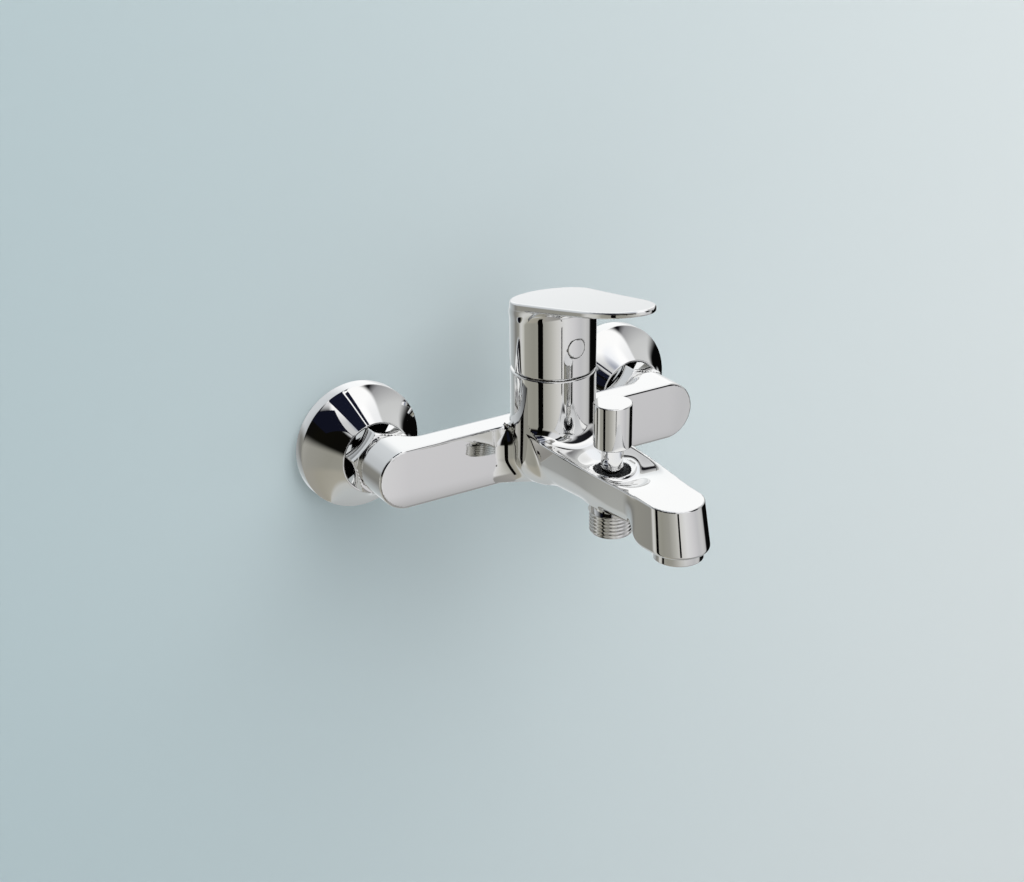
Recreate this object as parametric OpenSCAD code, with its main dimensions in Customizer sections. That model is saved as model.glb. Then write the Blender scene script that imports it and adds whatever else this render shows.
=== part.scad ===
// Wall mounted single lever bath and shower mixer.
// Origin: on the wall, midway between the two inlet axes, at their height.
// +X runs to the right along the wall, +Y into the wall, +Z up. Millimetres.

/* [Inlets] */
// Distance between the two inlet axes
inlet_spacing = 150; // [146:1:154]
// Height of the wall thread axis below the inlet axis
union_offset = 10; // [6:0.5:10]
// Length of the wall thread that stands into the wall
wall_thread_length = 16; // [12:1:20]
// Outer radius of each rosette
rosette_r = 31.9; // [30:0.1:34]
// Height of the cylindrical rim of each rosette
rosette_rim = 6.5; // [4:0.1:8]
// Outer radius of the mouth of each rosette
rosette_neck_r = 18.3; // [18.2:0.1:19]
// Distance from the wall to the mouth of the rosette
rosette_depth = 23.5; // [23:0.1:25]
// Size of the union nuts across their flats
nut_flats = 30; // [29:0.1:30]

/* [Body] */
// Distance from the wall to the axis of the body
body_out = 64.7; // [63:0.1:66]
// Outer radius of the body and of the handle's skirt
body_r = 20.6; // [20.4:0.1:21]
// Height of the top edge of the body
body_top = 45.3; // [45:0.1:46]
// Lowest level of the body and the arms
body_bottom = -14; // [-14.5:0.1:-13.5]
// Half the height of the arms and of their rounded ends
arm_r = 15; // [14.8:0.1:15.5]
// Distance from the wall to the flat front of the arms
arm_front_out = 56.4; // [56:0.1:57]
// Distance from the wall to the back of the arms
arm_back_out = 36; // [35.5:0.1:37]

/* [Spout] */
// Distance from the wall to the centre of the aerator
spout_reach = 167.4; // [166:0.1:168]
// Radius of the rounded end of the spout
spout_end_r = 14.3; // [14.2:0.1:14.6]
// Half the width of the spout where it leaves the body
spout_root_w = 18.8; // [18:0.1:19]
// Height of the spout's top edges
spout_top = 15.5; // [15:0.1:16]
// Height of the spout's lower edge at its end
spout_end_z = -7; // [-7.2:0.1:-6.8]
// Height of the spout's underside where it is thinnest
spout_thin_z = -3.6; // [-4.5:0.1:-3.5]
// Depth of the hollow in the top of the spout
scoop_depth = 11.5; // [10:0.1:11.5]
// Distance from the wall to the diverter and shower outlet axis
diverter_out = 115.1; // [114.5:0.1:115.5]

/* [Handle] */
// Greatest lift of the lever, in degrees
lift_max = 15; // [10:1:15]
// Gap between the body and the handle
seam = 0.7; // [0.6:0.05:1]
// Height of the lever's top face above the body axis
lever_top = 80.8; // [80:0.1:82]
// Rise of the lever's top face per millimetre forward
lever_slope = 0.197; // [0.15:0.005:0.22]
// Forward reach of the lever from the body axis
lever_reach = 75; // [70:0.5:78]
// Thickness of the lever's blade
blade = 3.6; // [3:0.1:5]
// Radius of the index button
button_r = 4.75; // [4:0.05:5]

/* [Diverter] */
// Radius of the diverter knob
knob_r = 9; // [8.5:0.1:9.2]
// Height of the top of the diverter knob
knob_top = 44.4; // [42:0.1:46]
// Height of the underside of the diverter knob
knob_bottom = 23; // [20:0.1:26]
// Travel of the diverter knob
diverter_travel = 7; // [5:0.5:7]

/* [Shower outlet] */
// Outer radius of the shower outlet's thread (half of 20.955)
outlet_r = 10.478; // [10.4:0.001:10.5]
// Pitch of the shower outlet's thread
outlet_pitch = 1.814; // [1.8:0.001:1.82]
// Height of the lower end of the shower outlet
outlet_end = -21; // [-22:0.1:-20.8]

/* [Hidden] */
$fn = 96;

chrome = [0.86, 0.87, 0.88];
brass = [0.78, 0.62, 0.30];
steel = [0.62, 0.63, 0.65];
rubber = [0.07, 0.07, 0.07];
white_plastic = [0.90, 0.90, 0.86];
grey_plastic = [0.45, 0.47, 0.50];
ceramic = [0.95, 0.93, 0.90];

fit = 0.05;                       // radial clearance of a running fit
inlet_x = inlet_spacing / 2;
body_y = -body_out;
arm_z = body_bottom + arm_r;      // axis height of the arms
arm_front = -arm_front_out;
arm_back = -arm_back_out;
spout_y = -spout_reach;
div_y = -diverter_out;

// inlets, as distances along Y
wall_r = 10.478;                  // G1/2 wall thread
union_r = 13.22;                  // G3/4 union thread
union_end = -24;                  // face of the union against its washer
union_block = -9;                 // front of the eccentric block
washer = 2;
tail_end = union_end - washer;    // face of the body's inlet tail
tail_r = 11;
rosette_wall = 1.7;
rosette_web = 11;                 // web that holds the rosette on the union
mouth_wall = 0.85;                // the mouth is thin where it passes the nut's corners
tail_ring_y = -29;                // ring groove in the inlet tail
nut_front = -32.6;
nut_back = -15;
nut_shoulder = -30;
arm_end_back = -36.8;             // where the arm's round end starts to narrow
arm_end_face = -32.8;
bore_r = 7.5;                     // waterway in the inlets

// cartridge stack, as heights
seat_z = 9;
base_z = 13.2;
fixed_z = 16.2;
moving_z = 19.2;
carrier_z = 24;
rotor_z = 25;
rotor_top = 32.2;
housing_top = 34.5;
nut_top = 41.5;
pivot_z = 37.5;
cartridge_r = 17.35;
nut_r = 18.5;
carrier_r = 10.5;
neck_r = 9;                       // rotor's neck
ball_r = 2.6;
ball_z = 22.3;                    // ball end of the lever stem
stem_w = 8;                       // square of the lever stem
stem_top = 69;
dome_r = 18.9;
port_r = 3.4;
inlet_port = [8, -57.7];
mixed_port = [0, -72.7];

// handle
skirt_z = body_top + seam;
skirt_in = 18.2;
cavity_top = 73;
socket_r = 9;
socket_z = 57.5;
button_z = 60.7;
lever_tip_w = 14.2;               // half width where the tip's rounding starts
lever_tip_s = 63;

// diverter stack, as heights
rim_z = 10.5;                     // rim of the diverter well
well_r = 9.3;
gland_z = 2;
gland_top = 6.5;
upper_seat = -3.5;
seat_hole = 5;
chamber_r = 7.5;
spigot_top = -6.5;
collar_top = -9.2;
plate_r = 6.8;
plate_h = 2.5;
lower_seat = upper_seat - diverter_travel - plate_h;
rod_r = 2.5;
neck_z = 8;                       // lower end of the knob's neck
knob_neck_r = 5.2;
valve_bore = 7.2;
check_top = -14.05;
check_bottom = -20.4;
poppet_z = -15.05;
poppet_h = 1.1;
guide_z = -19.2;

// aerator
aerator_r = 11.9;
aerator_end = -11.2;
aerator_top = -2;
aerator_cavity = 10;

// Cylinder along Y from y0 to y1
module rod_y(r, y0, y1, x = 0, z = 0)
    translate([x, y1, z]) rotate([90, 0, 0]) cylinder(r = r, h = y1 - y0);

// Cone along Y with radius r0 at y0 and r1 at y1
module cone_y(r0, r1, y0, y1, x = 0, z = 0)
    translate([x, y1, z]) rotate([90, 0, 0]) cylinder(r1 = r1, r2 = r0, h = y1 - y0);

// Cylinder along X from x0 to x1
module rod_x(r, x0, x1, y, z)
    translate([x0, y, z]) rotate([0, 90, 0]) cylinder(r = r, h = x1 - x0);

// Upright cylinder from z0 to z1 at a point [x, y]
module post(r, z0, z1, at)
    translate([at[0], at[1], z0]) cylinder(r = r, h = z1 - z0);

// Upright ring
module ring(ro, ri, z0, z1, at)
    difference() {
        post(ro, z0, z1, at);
        post(ri, z0 - 1, z1 + 1, at);
    }

// Box given by its two corners
module span(a, b)
    translate(a) cube(b - a);

// Outline drawn as [y, z] and swept along X between -w and w
module sweep_x(w)
    translate([-w, 0, 0]) rotate([90, 0, 90]) linear_extrude(2 * w) children();

// Outline drawn as [x, z] and swept along Y from y0 to y1
module sweep_y(y0, y1)
    translate([0, y1, 0]) rotate([90, 0, 0]) linear_extrude(y1 - y0) children();

// Helical spring with flat pitch, as a swept tube
module coil(r, wire, z0, z1, turns, at, sides = 8, steps = 14) {
    n = turns * steps;
    rise = (z1 - z0 - 2 * wire) / n;
    points = [for (i = [0:n]) for (j = [0:sides - 1])
        let (a = 360 * i / steps, b = 360 * j / sides, q = r + wire * cos(b))
        [q * cos(a), q * sin(a), z0 + wire + rise * i + wire * sin(b)]];
    sides_f = [for (i = [0:n - 1]) for (j = [0:sides - 1])
        let (k = (j + 1) % sides)
        [i * sides + j, (i + 1) * sides + j, (i + 1) * sides + k, i * sides + k]];
    first = [for (j = [0:sides - 1]) j];
    last = [for (j = [sides - 1:-1:0]) n * sides + j];
    translate([at[0], at[1], 0]) polyhedron(points, concat([first], sides_f, [last]), 10);
}

// ---------- body casting ----------

// Cross section of the arms as [y, z]: flat front, rounded back
module arm_section() {
    back_r = 10;
    edge_r = 1.5;
    top = arm_z + arm_r;
    middle = arm_back - back_r - arm_front - edge_r;
    translate([arm_front + edge_r, body_bottom]) square([middle, 2 * arm_r]);
    translate([arm_front, body_bottom + edge_r]) square([edge_r, 2 * (arm_r - edge_r)]);
    translate([arm_back - back_r, body_bottom + back_r]) square([back_r, 2 * (arm_r - back_r)]);
    for (z = [body_bottom + edge_r, top - edge_r]) translate([arm_front + edge_r, z]) circle(edge_r);
    for (z = [body_bottom + back_r, top - back_r]) translate([arm_back - back_r, z]) circle(back_r);
}

// Front outline of the arms as [x, z]
module arm_front_outline() {
    translate([-inlet_x, body_bottom]) square([inlet_spacing, 2 * arm_r]);
    for (s = [-1, 1]) translate([s * inlet_x, arm_z]) circle(arm_r);
}

module arms() {
    intersection() {
        sweep_x(inlet_x + arm_r + 1) arm_section();
        sweep_y(arm_front - 1, arm_back + 1) arm_front_outline();
    }
    for (s = [-1, 1]) {
        rod_y(arm_r, arm_front + 1.5, arm_end_back, s * inlet_x, arm_z);
        cone_y(arm_r, arm_r - 1.6, arm_end_back, arm_end_face, s * inlet_x, arm_z);
        difference() {
            rod_y(tail_r, arm_end_face - 1, tail_end, s * inlet_x);
            ring_groove(s);
        }
    }
}

// Groove for the nut's retaining ring in the inlet tail
module ring_groove(s)
    difference() {
        rod_y(tail_r + 1, tail_ring_y - 1, tail_ring_y, s * inlet_x);
        rod_y(tail_r - 1, tail_ring_y - 2, tail_ring_y + 1, s * inlet_x);
    }

// Plan of the spout as [x, y]
module spout_plan() {
    root = spout_root_w;
    side_y = spout_y + 1;
    polygon([[-root, body_y], [-spout_end_r, side_y], [spout_end_r, side_y], [root, body_y]]);
    translate([0, spout_y]) circle(spout_end_r);
}

// Side view of the spout as [y, z]
module spout_side() {
    front = spout_y - spout_end_r;
    polygon([
        [body_y, body_bottom], [div_y + 20, body_bottom + 2.7], [div_y, body_bottom + 5.8],
        [div_y - 14, body_bottom + 8.8], [div_y - 24, spout_thin_z], [div_y - 31, spout_thin_z],
        [div_y - 37, spout_end_z + 1.4], [div_y - 42, spout_end_z], [front, spout_end_z],
        [front + 4.4, spout_top - 0.2], [front + 14, spout_top], [body_y, spout_top]
    ]);
}

// Front view of the spout as [x, z], with a rounded underside
module spout_front() {
    r = 16;
    w = spout_root_w + 1;
    translate([-w, body_bottom + r]) square([2 * w, 60]);
    translate([-w + r, body_bottom]) square([2 * (w - r), r + 1]);
    for (s = [-1, 1]) translate([s * (w - r), body_bottom + r]) circle(r);
}

// Round-bottomed hollow that runs along the top of the spout and rises to its end
module scoop() {
    half = 16.4;
    r = (half * half + scoop_depth * scoop_depth) / (2 * scoop_depth);
    z = spout_top - scoop_depth + r;
    turn_y = div_y - 9;
    rise = atan(scoop_depth / 31);
    rod_y(r, turn_y, body_y - 2, 0, z);
    intersection() {
        translate([0, turn_y, z]) rotate([90 - rise, 0, 0]) translate([0, 0, -20]) cylinder(r = r, h = 80);
        span([-30, turn_y - 60, -10], [30, turn_y, 60]);
    }
}

module spout() {
    difference() {
        intersection() {
            translate([0, 0, -30]) linear_extrude(90) spout_plan();
            sweep_x(30) spout_side();
            sweep_y(-200, body_y) spout_front();
        }
        scoop();
    }
    post(well_r + 0.6, -4, rim_z, [0, div_y]);
    translate([0, div_y, 3.2]) cylinder(r1 = 13.4, r2 = well_r + 0.6, h = 3);
}

// Everything that is bored and milled out of the casting
module waterways() {
    axis = [0, body_y];
    // cartridge seat and the thread of its nut
    post(cartridge_r + fit, seat_z, 60, axis);
    post(nut_r + fit, housing_top, 60, axis);
    // hot and cold inlets
    for (s = [-1, 1]) {
        rod_y(bore_r, -46, 0, s * inlet_x);
        rod_x(6.5, s > 0 ? 6 : -inlet_x, s > 0 ? inlet_x : -6, -46, arm_z);
        rod_y(port_r, inlet_port[1], -44, s * inlet_port[0], arm_z);
        post(port_r, arm_z, seat_z + 1, [s * inlet_port[0], inlet_port[1]]);
    }
    // mixed water to the diverter
    post(port_r + 0.8, -6, seat_z + 1, mixed_port);
    span([-6, div_y + 3, -8.6], [6, mixed_port[1] + 3, -4]);
    // diverter well, its two chambers and the outlet's socket
    post(well_r, gland_z, 30, [0, div_y]);
    post(8.5, upper_seat + 1.5, gland_z + 1, [0, div_y]);
    post(seat_hole, upper_seat - 1, upper_seat + 2, [0, div_y]);
    post(chamber_r, spigot_top - 1, upper_seat, [0, div_y]);
    post(8.9, collar_top - 1, spigot_top, [0, div_y]);
    post(11, -20, collar_top, [0, div_y]);
    // passage to the aerator and the aerator's seat
    span([-6, spout_y, upper_seat + 1.5], [6, div_y - 4, gland_z]);
    post(aerator_cavity, aerator_top, gland_z + 1, [0, spout_y]);
    post(aerator_r + fit, spout_end_z - 5, aerator_top + 0.5, [0, spout_y]);
}

// Upright body with a rounded underside
module body() {
    r = 10;
    post(body_r, body_bottom + r, body_top, [0, body_y]);
    translate([0, body_y, body_bottom + r]) rotate_extrude() intersection() {
        union() {
            translate([body_r - r, 0]) circle(r);
            translate([0, -r]) square([body_r - r, r]);
        }
        translate([0, -r]) square([body_r, r]);
    }
}

module body_casting()
    color(chrome) difference() {
        union() {
            arms();
            body();
            spout();
        }
        waterways();
    }

// ---------- inlets ----------

// Eccentric union with its wall thread, block and nut thread
module s_union(s)
    color(chrome) difference() {
        union() {
            rod_y(wall_r, -3, wall_thread_length, s * inlet_x, -union_offset);
            rod_y(union_r, union_block, -2, s * inlet_x, -union_offset);
            rod_y(union_r, union_end, -2, s * inlet_x);
            span([s * inlet_x - union_r, union_block, -union_offset], [s * inlet_x + union_r, -2, 0]);
        }
        rod_y(7, -6, wall_thread_length + 1, s * inlet_x, -union_offset);
        rod_y(8, union_end - 1, -4, s * inlet_x);
        span([s * inlet_x - 6, -6, -union_offset], [s * inlet_x + 6, -4, 0]);
    }

// Share of a rosette's narrowing at a share t of the way to its mouth
function flare(t) = 0.74 * t + 0.26 * (1 - pow(1 - t, 3));

// Outline of a rosette's shell as [radius, distance from the wall]
module rosette_outline(inset) {
    neck = rosette_neck_r - inset;
    rim = rosette_r - inset;
    depth = rosette_depth - rosette_rim;
    steps = 16;
    curve = [for (i = [0:steps])
        let (t = i / steps)
        [rim + (neck - rim) * flare(t), rosette_rim - inset + (depth + inset) * t]];
    polygon(concat([[0, 0], [rim, 0]], curve, [[0, rosette_depth]]));
}

module rosette(s)
    color(chrome) translate([s * inlet_x, 0, 0]) rotate([90, 0, 0]) {
        rotate_extrude() difference() {
            rosette_outline(0);
            difference() {
                rosette_outline(rosette_wall);
                translate([0, rosette_web]) square([rosette_r, 2]);
            }
            translate([0, rosette_depth - 8]) square([rosette_neck_r - mouth_wall, 20]);
            translate([0, -1]) square([union_r + fit, 40]);
            translate([0, -1]) square([rosette_r - rosette_wall, 1.01]);
        }
    }

module union_nut(s)
    color(chrome) translate([s * inlet_x, 0, 0]) difference() {
        intersection() {
            rotate([0, 16, 0]) translate([0, nut_back, 0]) rotate([90, 0, 0])
                cylinder(d = nut_flats / cos(30), h = nut_back - nut_front, $fn = 6);
            union() {
                cone_y(nut_flats / 2 + 0.6, nut_flats / 2 + 3, nut_front, nut_front + 2);
                rod_y(nut_flats / 2 + 3, nut_front + 2, nut_back);
            }
        }
        rod_y(tail_r + 0.2, nut_front - 1, nut_back + 1);
        rod_y(union_r + fit, nut_shoulder, nut_back + 1);
    }

module nut_ring(s)
    color(steel) translate([s * inlet_x, 0, 0]) difference() {
        rod_y(tail_r + 1.8, tail_ring_y - 0.95, tail_ring_y - 0.05);
        rod_y(tail_r - 1, tail_ring_y - 3, tail_ring_y + 1);
        span([-1.5, tail_ring_y - 3, 0], [1.5, tail_ring_y + 1, tail_r + 3]);
    }

module union_washer(s)
    color(rubber) translate([s * inlet_x, 0, 0]) difference() {
        rod_y(12.6, tail_end, union_end);
        rod_y(8, tail_end - 1, union_end + 1);
    }

// ---------- cartridge ----------

// Places its children at each of the three ports
module at_ports() {
    for (s = [-1, 1]) translate([s * inlet_port[0], inlet_port[1], 0]) children();
    translate([mixed_port[0], mixed_port[1], 0]) children();
}

module port_seals()
    color(rubber) at_ports() ring(5.2, port_r, seat_z, seat_z + 1.2, [0, 0]);

module cartridge_base()
    color(grey_plastic) difference() {
        post(cartridge_r, seat_z, base_z, [0, body_y]);
        at_ports() post(port_r, seat_z - 1, base_z + 1, [0, 0]);
        at_ports() post(5.2, seat_z - 1, seat_z + 1.2, [0, 0]);
    }

module cartridge_housing()
    color(white_plastic) difference() {
        post(cartridge_r, base_z, housing_top, [0, body_y]);
        post(15.7, base_z - 1, rotor_top + 0.1, [0, body_y]);
        post(neck_r + fit, rotor_top, housing_top + 1, [0, body_y]);
    }

module fixed_disc()
    color(ceramic) difference() {
        post(15.4, base_z, fixed_z, [0, body_y]);
        at_ports() post(port_r, base_z - 1, fixed_z + 1, [0, 0]);
    }

module moving_disc()
    color(ceramic) difference() {
        post(carrier_r, fixed_z + 0.02, moving_z, [0, body_y]);
        post(6, fixed_z - 1, fixed_z + 1.6, [0, body_y - 2]);
    }

module disc_carrier()
    color(white_plastic) difference() {
        post(carrier_r, moving_z, carrier_z, [0, body_y]);
        post(ball_r + 0.15, moving_z + 0.2, carrier_z + 1, [0, body_y]);
    }

module rotor()
    color(white_plastic) difference() {
        union() {
            post(15.6, rotor_z, rotor_top, [0, body_y]);
            post(neck_r, rotor_top - 1, pivot_z + 5, [0, body_y]);
            for (s = [-1, 1]) translate([s * 12.2, body_y, 23]) cube([2.6, 14, 6], center = true);
        }
        span([-4.6, body_y - 8.2, rotor_z - 1], [4.6, body_y + 8.2, pivot_z + 6]);
        rod_x(1.5, -20, 20, body_y, pivot_z);
    }

module pivot_pin()
    color(steel) rod_x(1.5, -8.4, 8.4, body_y, pivot_z);

module lever_stem()
    color(brass) difference() {
        union() {
            translate([0, body_y, ball_z]) sphere(ball_r);
            post(2, ball_z, pivot_z, [0, body_y]);
            rod_x(4, -4.5, 4.5, body_y, pivot_z);
            post(3.9, pivot_z, pivot_z + 8, [0, body_y]);
            translate([-stem_w / 2, body_y - stem_w / 2, pivot_z + 6])
                cube([stem_w, stem_w, stem_top - pivot_z - 6]);
        }
        rod_x(1.5 + fit, -20, 20, body_y, pivot_z);
    }

module retaining_nut()
    color(brass) difference() {
        post(nut_r, housing_top, nut_top, [0, body_y]);
        translate([0, body_y, housing_top - 1]) cylinder(r = 13.6, h = 20, $fn = 6);
    }

module dome_cover()
    color(chrome) translate([0, body_y, 0]) rotate_extrude() difference() {
        intersection() {
            translate([0, pivot_z]) circle(dome_r);
            translate([10, nut_top]) square([nut_r - 10, 20]);
        }
        translate([0, pivot_z]) circle(dome_r - 1);
    }

// ---------- handle ----------

// Height of the lever's top face at a distance forward of the body axis
function lever_z(s) = lever_top + lever_slope * s + 0.0002 * s * s;

// Plan of the lever as [x, y]
module lever_plan() {
    corner = 5;
    tip = body_y - lever_reach;
    side_y = body_y - lever_tip_s;
    front_r = 26;
    translate([0, body_y]) circle(body_r);
    intersection() {
        polygon([
            [-19.9, body_y], [-lever_tip_w, side_y], [-lever_tip_w + corner, tip - 2],
            [lever_tip_w - corner, tip - 2], [lever_tip_w, side_y], [19.9, body_y]
        ]);
        translate([0, tip + front_r]) union() {
            circle(front_r);
            translate([-30, 0]) square([60, 90]);
        }
        union() {
            translate([0, side_y + 2]) circle(lever_tip_w + 0.3);
            translate([-30, side_y + 2]) square([60, 90]);
        }
    }
}

// Points [y, z] along the lever at a drop below its top face, from its back to its tip
function lever_line(drop, thin = 0) =
    [for (i = [0:12])
        let (s = (lever_reach + body_r + 2) * i / 12 - body_r - 1)
        [body_y - s, lever_z(s) - drop + thin * max(0, s) / lever_reach]];

function reverse(list) = [for (i = [len(list) - 1:-1:0]) list[i]];

// Side view of everything below the lever's top face as [y, z]
module below_top()
    polygon(concat(lever_line(0), [[body_y - lever_reach - 1, skirt_z], [body_y + body_r + 1, skirt_z]]));

// Side view of the blade as [y, z], thinner towards its tip
module blade_side()
    polygon(concat(lever_line(0), reverse(lever_line(blade, 0.8))));

// Flare between the front of the skirt and the underside of the blade
module lever_root() {
    tilt = atan(lever_slope);
    translate([0, body_y, lever_top - blade - 6.5]) rotate([-tilt, 0, 0])
        cylinder(r1 = body_r - 0.5, r2 = body_r + 6, h = 7);
}

module handle_solid() {
    intersection() {
        post(body_r, skirt_z, 120, [0, body_y]);
        sweep_x(30) below_top();
    }
    intersection() {
        linear_extrude(120) lever_plan();
        sweep_x(30) blade_side();
    }
    intersection() {
        linear_extrude(120) lever_plan();
        sweep_x(30) below_top();
        lever_root();
    }
}

module handle()
    color(chrome) difference() {
        handle_solid();
        difference() {
            post(skirt_in, skirt_z - 1, cavity_top, [0, body_y]);
            post(socket_r, socket_z, cavity_top + 1, [0, body_y]);
        }
        translate([-stem_w / 2 - fit, body_y - stem_w / 2 - fit, socket_z - 1])
            cube([stem_w + 2 * fit, stem_w + 2 * fit, stem_top - socket_z + 1.5]);
        rod_y(2.5, body_y - socket_r - 1, body_y - 3, 0, button_z);
        rod_y(button_r, body_y - body_r - 1, body_y - skirt_in - 0.6, 0, button_z);
        rod_y(3.4, body_y - body_r - 1, body_y - skirt_in + 1, 0, button_z);
        // relief at the back, so that the skirt clears the body when the lever is lifted
        translate([0, body_y, pivot_z]) rotate([lift_max, 0, 0])
            span([-30, -2, -20], [30, 40, body_top - pivot_z + 0.35]);
    }

module grub_screw()
    color(steel) difference() {
        rod_y(2.5, body_y - socket_r + 0.5, body_y - stem_w / 2, 0, button_z);
        translate([0, body_y - socket_r + 2.5, button_z]) rotate([90, 0, 0])
            cylinder(r = 1.4, h = 3, $fn = 6);
    }

module index_button()
    color(chrome) {
        intersection() {
            rod_y(button_r - 0.1, body_y - body_r - 1, body_y - skirt_in - 0.7, 0, button_z);
            post(body_r, button_z - 8, button_z + 8, [0, body_y]);
        }
        rod_y(3.3, body_y - skirt_in - 0.8, body_y - skirt_in + 2, 0, button_z);
    }

// ---------- diverter ----------

module diverter_knob()
    color(chrome) translate([0, div_y, 0]) difference() {
        rotate_extrude() polygon([
            [0, neck_z], [knob_neck_r, neck_z], [knob_neck_r, 13], [knob_neck_r - 0.6, 13.2],
            [knob_neck_r - 0.6, 13.9], [knob_neck_r, 14.1], [knob_neck_r, knob_bottom],
            [knob_r - 0.5, knob_bottom], [knob_r, knob_bottom + 0.5],
            [knob_r, knob_top - 0.4], [knob_r - 0.4, knob_top], [0, knob_top]
        ]);
        translate([0, 0, neck_z - 1]) cylinder(r = rod_r, h = 20);
    }

module diverter_rod()
    color(brass) post(rod_r, lower_seat + 0.6, neck_z + 15, [0, div_y]);

module diverter_gland()
    color(grey_plastic) difference() {
        post(well_r - 0.02, gland_z, gland_top, [0, div_y]);
        post(rod_r + fit, gland_z - 1, gland_top + 1, [0, div_y]);
        ring(well_r + 1, well_r - 1.3, gland_z + 0.8, gland_z + 2.4, [0, div_y]);
        post(rod_r + 1.4, gland_z + 1.6, gland_z + 3.2, [0, div_y]);
    }

module gland_seals()
    color(rubber) {
        ring(well_r - 0.02, well_r - 1.3, gland_z + 0.85, gland_z + 2.35, [0, div_y]);
        ring(rod_r + 1.4, rod_r + fit, gland_z + 1.65, gland_z + 3.15, [0, div_y]);
    }

module valve_plate()
    color(brass) difference() {
        union() {
            post(plate_r, lower_seat + 0.7, lower_seat + plate_h - 0.7, [0, div_y]);
            post(rod_r + 1, lower_seat + 0.1, lower_seat + plate_h - 0.1, [0, div_y]);
        }
        post(rod_r, lower_seat + 0.6, lower_seat + plate_h + 1, [0, div_y]);
    }

module valve_washers()
    color(rubber) {
        ring(plate_r, rod_r + 1, lower_seat + 0.02, lower_seat + 0.7, [0, div_y]);
        ring(plate_r, rod_r + 1, lower_seat + plate_h - 0.7, lower_seat + plate_h, [0, div_y]);
    }

module diverter_spring()
    color(steel) coil(3.5, 0.4, lower_seat + plate_h, gland_z, 6, [0, div_y]);

// ---------- shower outlet ----------

// Profile of the outlet's threaded outside as [radius, z], one ridge per pitch
function ridge(z, p) = [
    [outlet_r - 1.16, z + 0.12 * p], [outlet_r, z + 0.40 * p],
    [outlet_r, z + 0.60 * p], [outlet_r - 1.16, z + 0.88 * p]
];

module shower_outlet() {
    ridges = 5;
    start = outlet_end + 0.6;
    profile = [for (i = [0:ridges - 1]) each ridge(start + i * outlet_pitch, outlet_pitch)];
    top = start + ridges * outlet_pitch;
    color(chrome) translate([0, div_y, 0]) difference() {
        union() {
            rotate_extrude() polygon(concat(
                [[0, outlet_end], [outlet_r - 1.16, outlet_end]], profile,
                [[outlet_r - 1.16, top], [0, top]]
            ));
            cylinder_between(10.9, top - 0.1, collar_top);
            cylinder_between(8.85, collar_top - 1, spigot_top);
        }
        cylinder_between(valve_bore, lower_seat, 0);
        cylinder_between(seat_hole, -30, 0);
        cylinder_between(valve_bore, -30, check_top + 0.05);
    }
}

// Upright cylinder on the local axis from z0 to z1
module cylinder_between(r, z0, z1)
    translate([0, 0, z0]) cylinder(r = r, h = z1 - z0);

module check_valve_housing()
    color(white_plastic) translate([0, div_y, 0]) difference() {
        cylinder_between(valve_bore - 0.02, check_bottom, check_top);
        cylinder_between(3.6, poppet_z, check_top + 1);
        cylinder_between(6, guide_z, poppet_z + 0.05);
        cylinder_between(1.5 + fit, check_bottom - 1, guide_z + 1);
        for (a = [30:60:330]) rotate([0, 0, a]) translate([4.3, 0, check_bottom - 1])
            cylinder(r = 1.2, h = 3);
    }

module check_valve_poppet()
    color(white_plastic) translate([0, div_y, 0]) {
        cylinder_between(4.8, poppet_z - poppet_h, poppet_z);
        cylinder_between(1.5, guide_z - 0.4, poppet_z - poppet_h);
    }

module check_valve_spring()
    color(steel) coil(2.3, 0.25, guide_z, poppet_z - poppet_h, 3, [0, div_y]);

// ---------- aerator ----------

module aerator_housing()
    color(chrome) translate([0, spout_y, 0]) difference() {
        union() {
            cylinder_between(aerator_r, spout_end_z + 0.2, aerator_top);
            cylinder_between(aerator_r - 0.4, aerator_end, spout_end_z + 0.3);
        }
        cylinder_between(10.8, aerator_end + 1, 0);
        cylinder_between(9.8, -30, 0);
    }

module aerator_insert()
    color(white_plastic) translate([0, spout_y, 0]) difference() {
        cylinder_between(10.75, aerator_end + 1.8, aerator_top - 0.1);
        for (i = [0:11]) rotate([0, 0, 30 * i]) translate([7.6, 0, -30]) cylinder(r = 1.3, h = 40);
        for (i = [0:5]) rotate([0, 0, 60 * i]) translate([4, 0, -30]) cylinder(r = 1.3, h = 40);
    }

module aerator_screen()
    color(grey_plastic) translate([0, spout_y, 0]) difference() {
        union() {
            cylinder_between(10.75, aerator_end + 1, aerator_end + 1.8);
            cylinder_between(9.7, aerator_end + 0.3, aerator_end + 1.1);
        }
        for (i = [-3:3]) for (j = [-3:3]) {
            x = 2.5 * (i + j / 2);
            y = 2.5 * j * sqrt(3) / 2;
            if (norm([x, y]) < 8.4) translate([x, y, -30]) cylinder(r = 1.05, h = 40, $fn = 6);
        }
    }

module aerator_seal()
    color(rubber) ring(aerator_r, 8.6, aerator_top, aerator_top + 0.5, [0, spout_y]);

// ---------- nodes ----------

body_casting();
s_union(-1);  // s_union_left
s_union(1);  // s_union_right
rosette(-1);  // rosette_left
rosette(1);  // rosette_right
union_nut(-1);  // union_nut_left
union_nut(1);  // union_nut_right
nut_ring(-1);  // nut_ring_left
nut_ring(1);  // nut_ring_right
union_washer(-1);  // union_washer_left
union_washer(1);  // union_washer_right
port_seals();
cartridge_base();
cartridge_housing();
fixed_disc();
moving_disc();
disc_carrier();
rotor();
pivot_pin();
lever_stem();
retaining_nut();
dome_cover();
handle();
grub_screw();
index_button();
diverter_knob();
diverter_rod();
diverter_gland();
gland_seals();
valve_plate();
valve_washers();
diverter_spring();
shower_outlet();
check_valve_housing();
check_valve_poppet();
check_valve_spring();
aerator_housing();
aerator_insert();
aerator_screen();
aerator_seal();
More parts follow.
